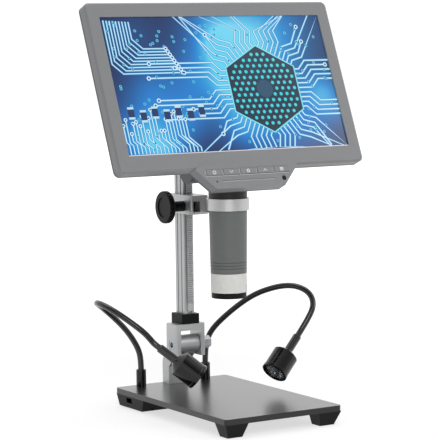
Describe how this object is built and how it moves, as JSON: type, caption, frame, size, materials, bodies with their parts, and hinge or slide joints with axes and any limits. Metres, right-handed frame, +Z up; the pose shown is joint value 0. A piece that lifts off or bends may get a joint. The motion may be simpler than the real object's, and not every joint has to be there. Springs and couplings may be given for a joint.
{
  "type": "digital microscope",
  "caption": "Digital microscope: tilting flat screen over a focus tube, held by a rack and pinion carriage on a hinged mast, with a heavy base and gooseneck lamps.",
  "frame": {"origin": "on the table, under the middle of the whole instrument's footprint box", "axes": "+Z up, +Y to the back, +X to the user's right"},
  "size_m": [0.247, 0.19, 0.3626],
  "materials": {
    "powder_black": "satin black coating",
    "black_plastic": "moulded black",
    "black_rubber": "soft black",
    "black_metal": "anodised black, glossy edges",
    "silver_cast": "satin silver",
    "steel": "plain steel",
    "board_green": "circuit board",
    "tube_grey": "dark grey-green",
    "sleeve_grey": "grey",
    "milky": "milky white",
    "clear": "clear",
    "case_grey": "satin grey",
    "panel_glass": "lit screen",
    "lamp_green": "light pipe",
    "smoke": "dark window"
  },
  "bodies": {
    "base": {"base_plate": "powder_black", "front_foot_left": "black_plastic", "front_foot_right": "black_plastic", "driver_case": "black_plastic", "rear_pads": "black_rubber", "lamp_driver_board": "board_green", "power_socket": "steel", "base_screws": "steel", "bracket_screws": "steel", "hinge_bracket": "silver_cast", "lamp_socket_left": "black_metal", "lamp_socket_right": "black_metal", "gooseneck_left": "black_rubber", "gooseneck_right": "black_rubber", "lamp_collar_left": "black_plastic", "lamp_collar_right": "black_plastic", "lamp_head_left": "black_metal", "lamp_head_right": "black_metal", "lamp_lens_left": "clear", "lamp_lens_right": "clear", "lamp_boards": "board_green", "socket_nuts": "steel"},
    "mast_unit": {"hinge_fork": "silver_cast", "hinge_bolt": "steel", "hinge_washer": "steel", "hinge_nut": "steel", "mast_screw": "steel", "mast": "silver_cast", "mast_collar": "black_plastic", "mast_cap": "black_plastic", "rack_stop": "silver_cast", "rack": "silver_cast"},
    "carriage_unit": {"carriage": "silver_cast", "shaft_bushes": "black_plastic", "tube_ring": "silver_cast", "ring_screw": "steel", "arm_screws": "steel"},
    "knob_unit": {"pinion_shaft": "black_metal", "focus_knob": "black_plastic"},
    "tube_unit": {"tube_body": "tube_grey", "camera_board": "board_green", "diffuser_ring": "milky", "end_ring": "black_plastic"},
    "sleeve_unit": {"focus_sleeve": "sleeve_grey"},
    "lens_unit": {"lens_carrier": "black_metal", "objective_lens": "clear"},
    "screen_unit": {"front_bezel": "case_grey", "lcd_panel": "panel_glass", "rear_cover": "case_grey", "tilt_pins": "steel", "cover_screws": "steel", "main_board": "board_green", "key_board": "board_green", "status_light": "lamp_green", "receiver_window": "smoke"},
    "power_button": {"power_button": "case_grey"},
    "down_button": {"down_button": "case_grey"},
    "enter_button": {"enter_button": "case_grey"},
    "up_button": {"up_button": "case_grey"},
    "menu_button": {"menu_button": "case_grey"}
  },
  "joints": [
    {"name": "mast_tilt", "type": "hinge", "parent": "base", "child": "mast_unit", "pos_m": [0, 0.068, 0.055], "axis": [-1, 0, 0], "range_deg": [0, 45]},
    {"name": "carriage_slide", "type": "slide", "parent": "mast_unit", "child": "carriage_unit", "axis": [0, 0, 1], "range_m": [-0.07, 0.035]},
    {"name": "knob_turn", "type": "hinge", "parent": "carriage_unit", "child": "knob_unit", "pos_m": [0, 0.05388, 0.182], "axis": [1, 0, 0], "range_deg": [-570, 1130]},
    {"name": "head_swivel", "type": "hinge", "parent": "carriage_unit", "child": "tube_unit", "pos_m": [0, -0.008, 0.188], "axis": [0, 0, 1], "range_deg": [-20, 20]},
    {"name": "focus_turn", "type": "hinge", "parent": "tube_unit", "child": "sleeve_unit", "pos_m": [0, -0.008, 0.155], "axis": [0, 0, 1], "range_deg": [-90, 90]},
    {"name": "lens_slide", "type": "slide", "parent": "tube_unit", "child": "lens_unit", "axis": [0, 0, 1], "range_m": [-0.0015, 0.0015]},
    {"name": "screen_tilt", "type": "hinge", "parent": "tube_unit", "child": "screen_unit", "pos_m": [0, -0.0045, 0.2175], "axis": [-1, 0, 0], "range_deg": [-10, 15]},
    {"name": "power_button_press", "type": "slide", "parent": "screen_unit", "child": "power_button", "axis": [0, 0.9223, -0.3864], "range_m": [0, 0.0005], "stiffness_N_per_m": 400, "springref_m": -0.0003},
    {"name": "down_button_press", "type": "slide", "parent": "screen_unit", "child": "down_button", "axis": [0, 0.9223, -0.3864], "range_m": [0, 0.0005], "stiffness_N_per_m": 400, "springref_m": -0.0003},
    {"name": "enter_button_press", "type": "slide", "parent": "screen_unit", "child": "enter_button", "axis": [0, 0.9223, -0.3864], "range_m": [0, 0.0005], "stiffness_N_per_m": 400, "springref_m": -0.0003},
    {"name": "up_button_press", "type": "slide", "parent": "screen_unit", "child": "up_button", "axis": [0, 0.9223, -0.3864], "range_m": [0, 0.0005], "stiffness_N_per_m": 400, "springref_m": -0.0003},
    {"name": "menu_button_press", "type": "slide", "parent": "screen_unit", "child": "menu_button", "axis": [0, 0.9223, -0.3864], "range_m": [0, 0.0005], "stiffness_N_per_m": 400, "springref_m": -0.0003}
  ],
  "couplings": [
    {"joint": "knob_turn", "follows": "carriage_slide", "rad_per_m": -277.78},
    {"joint": "focus_turn", "follows": "lens_slide", "rad_per_m": 1047.2}
  ]
}
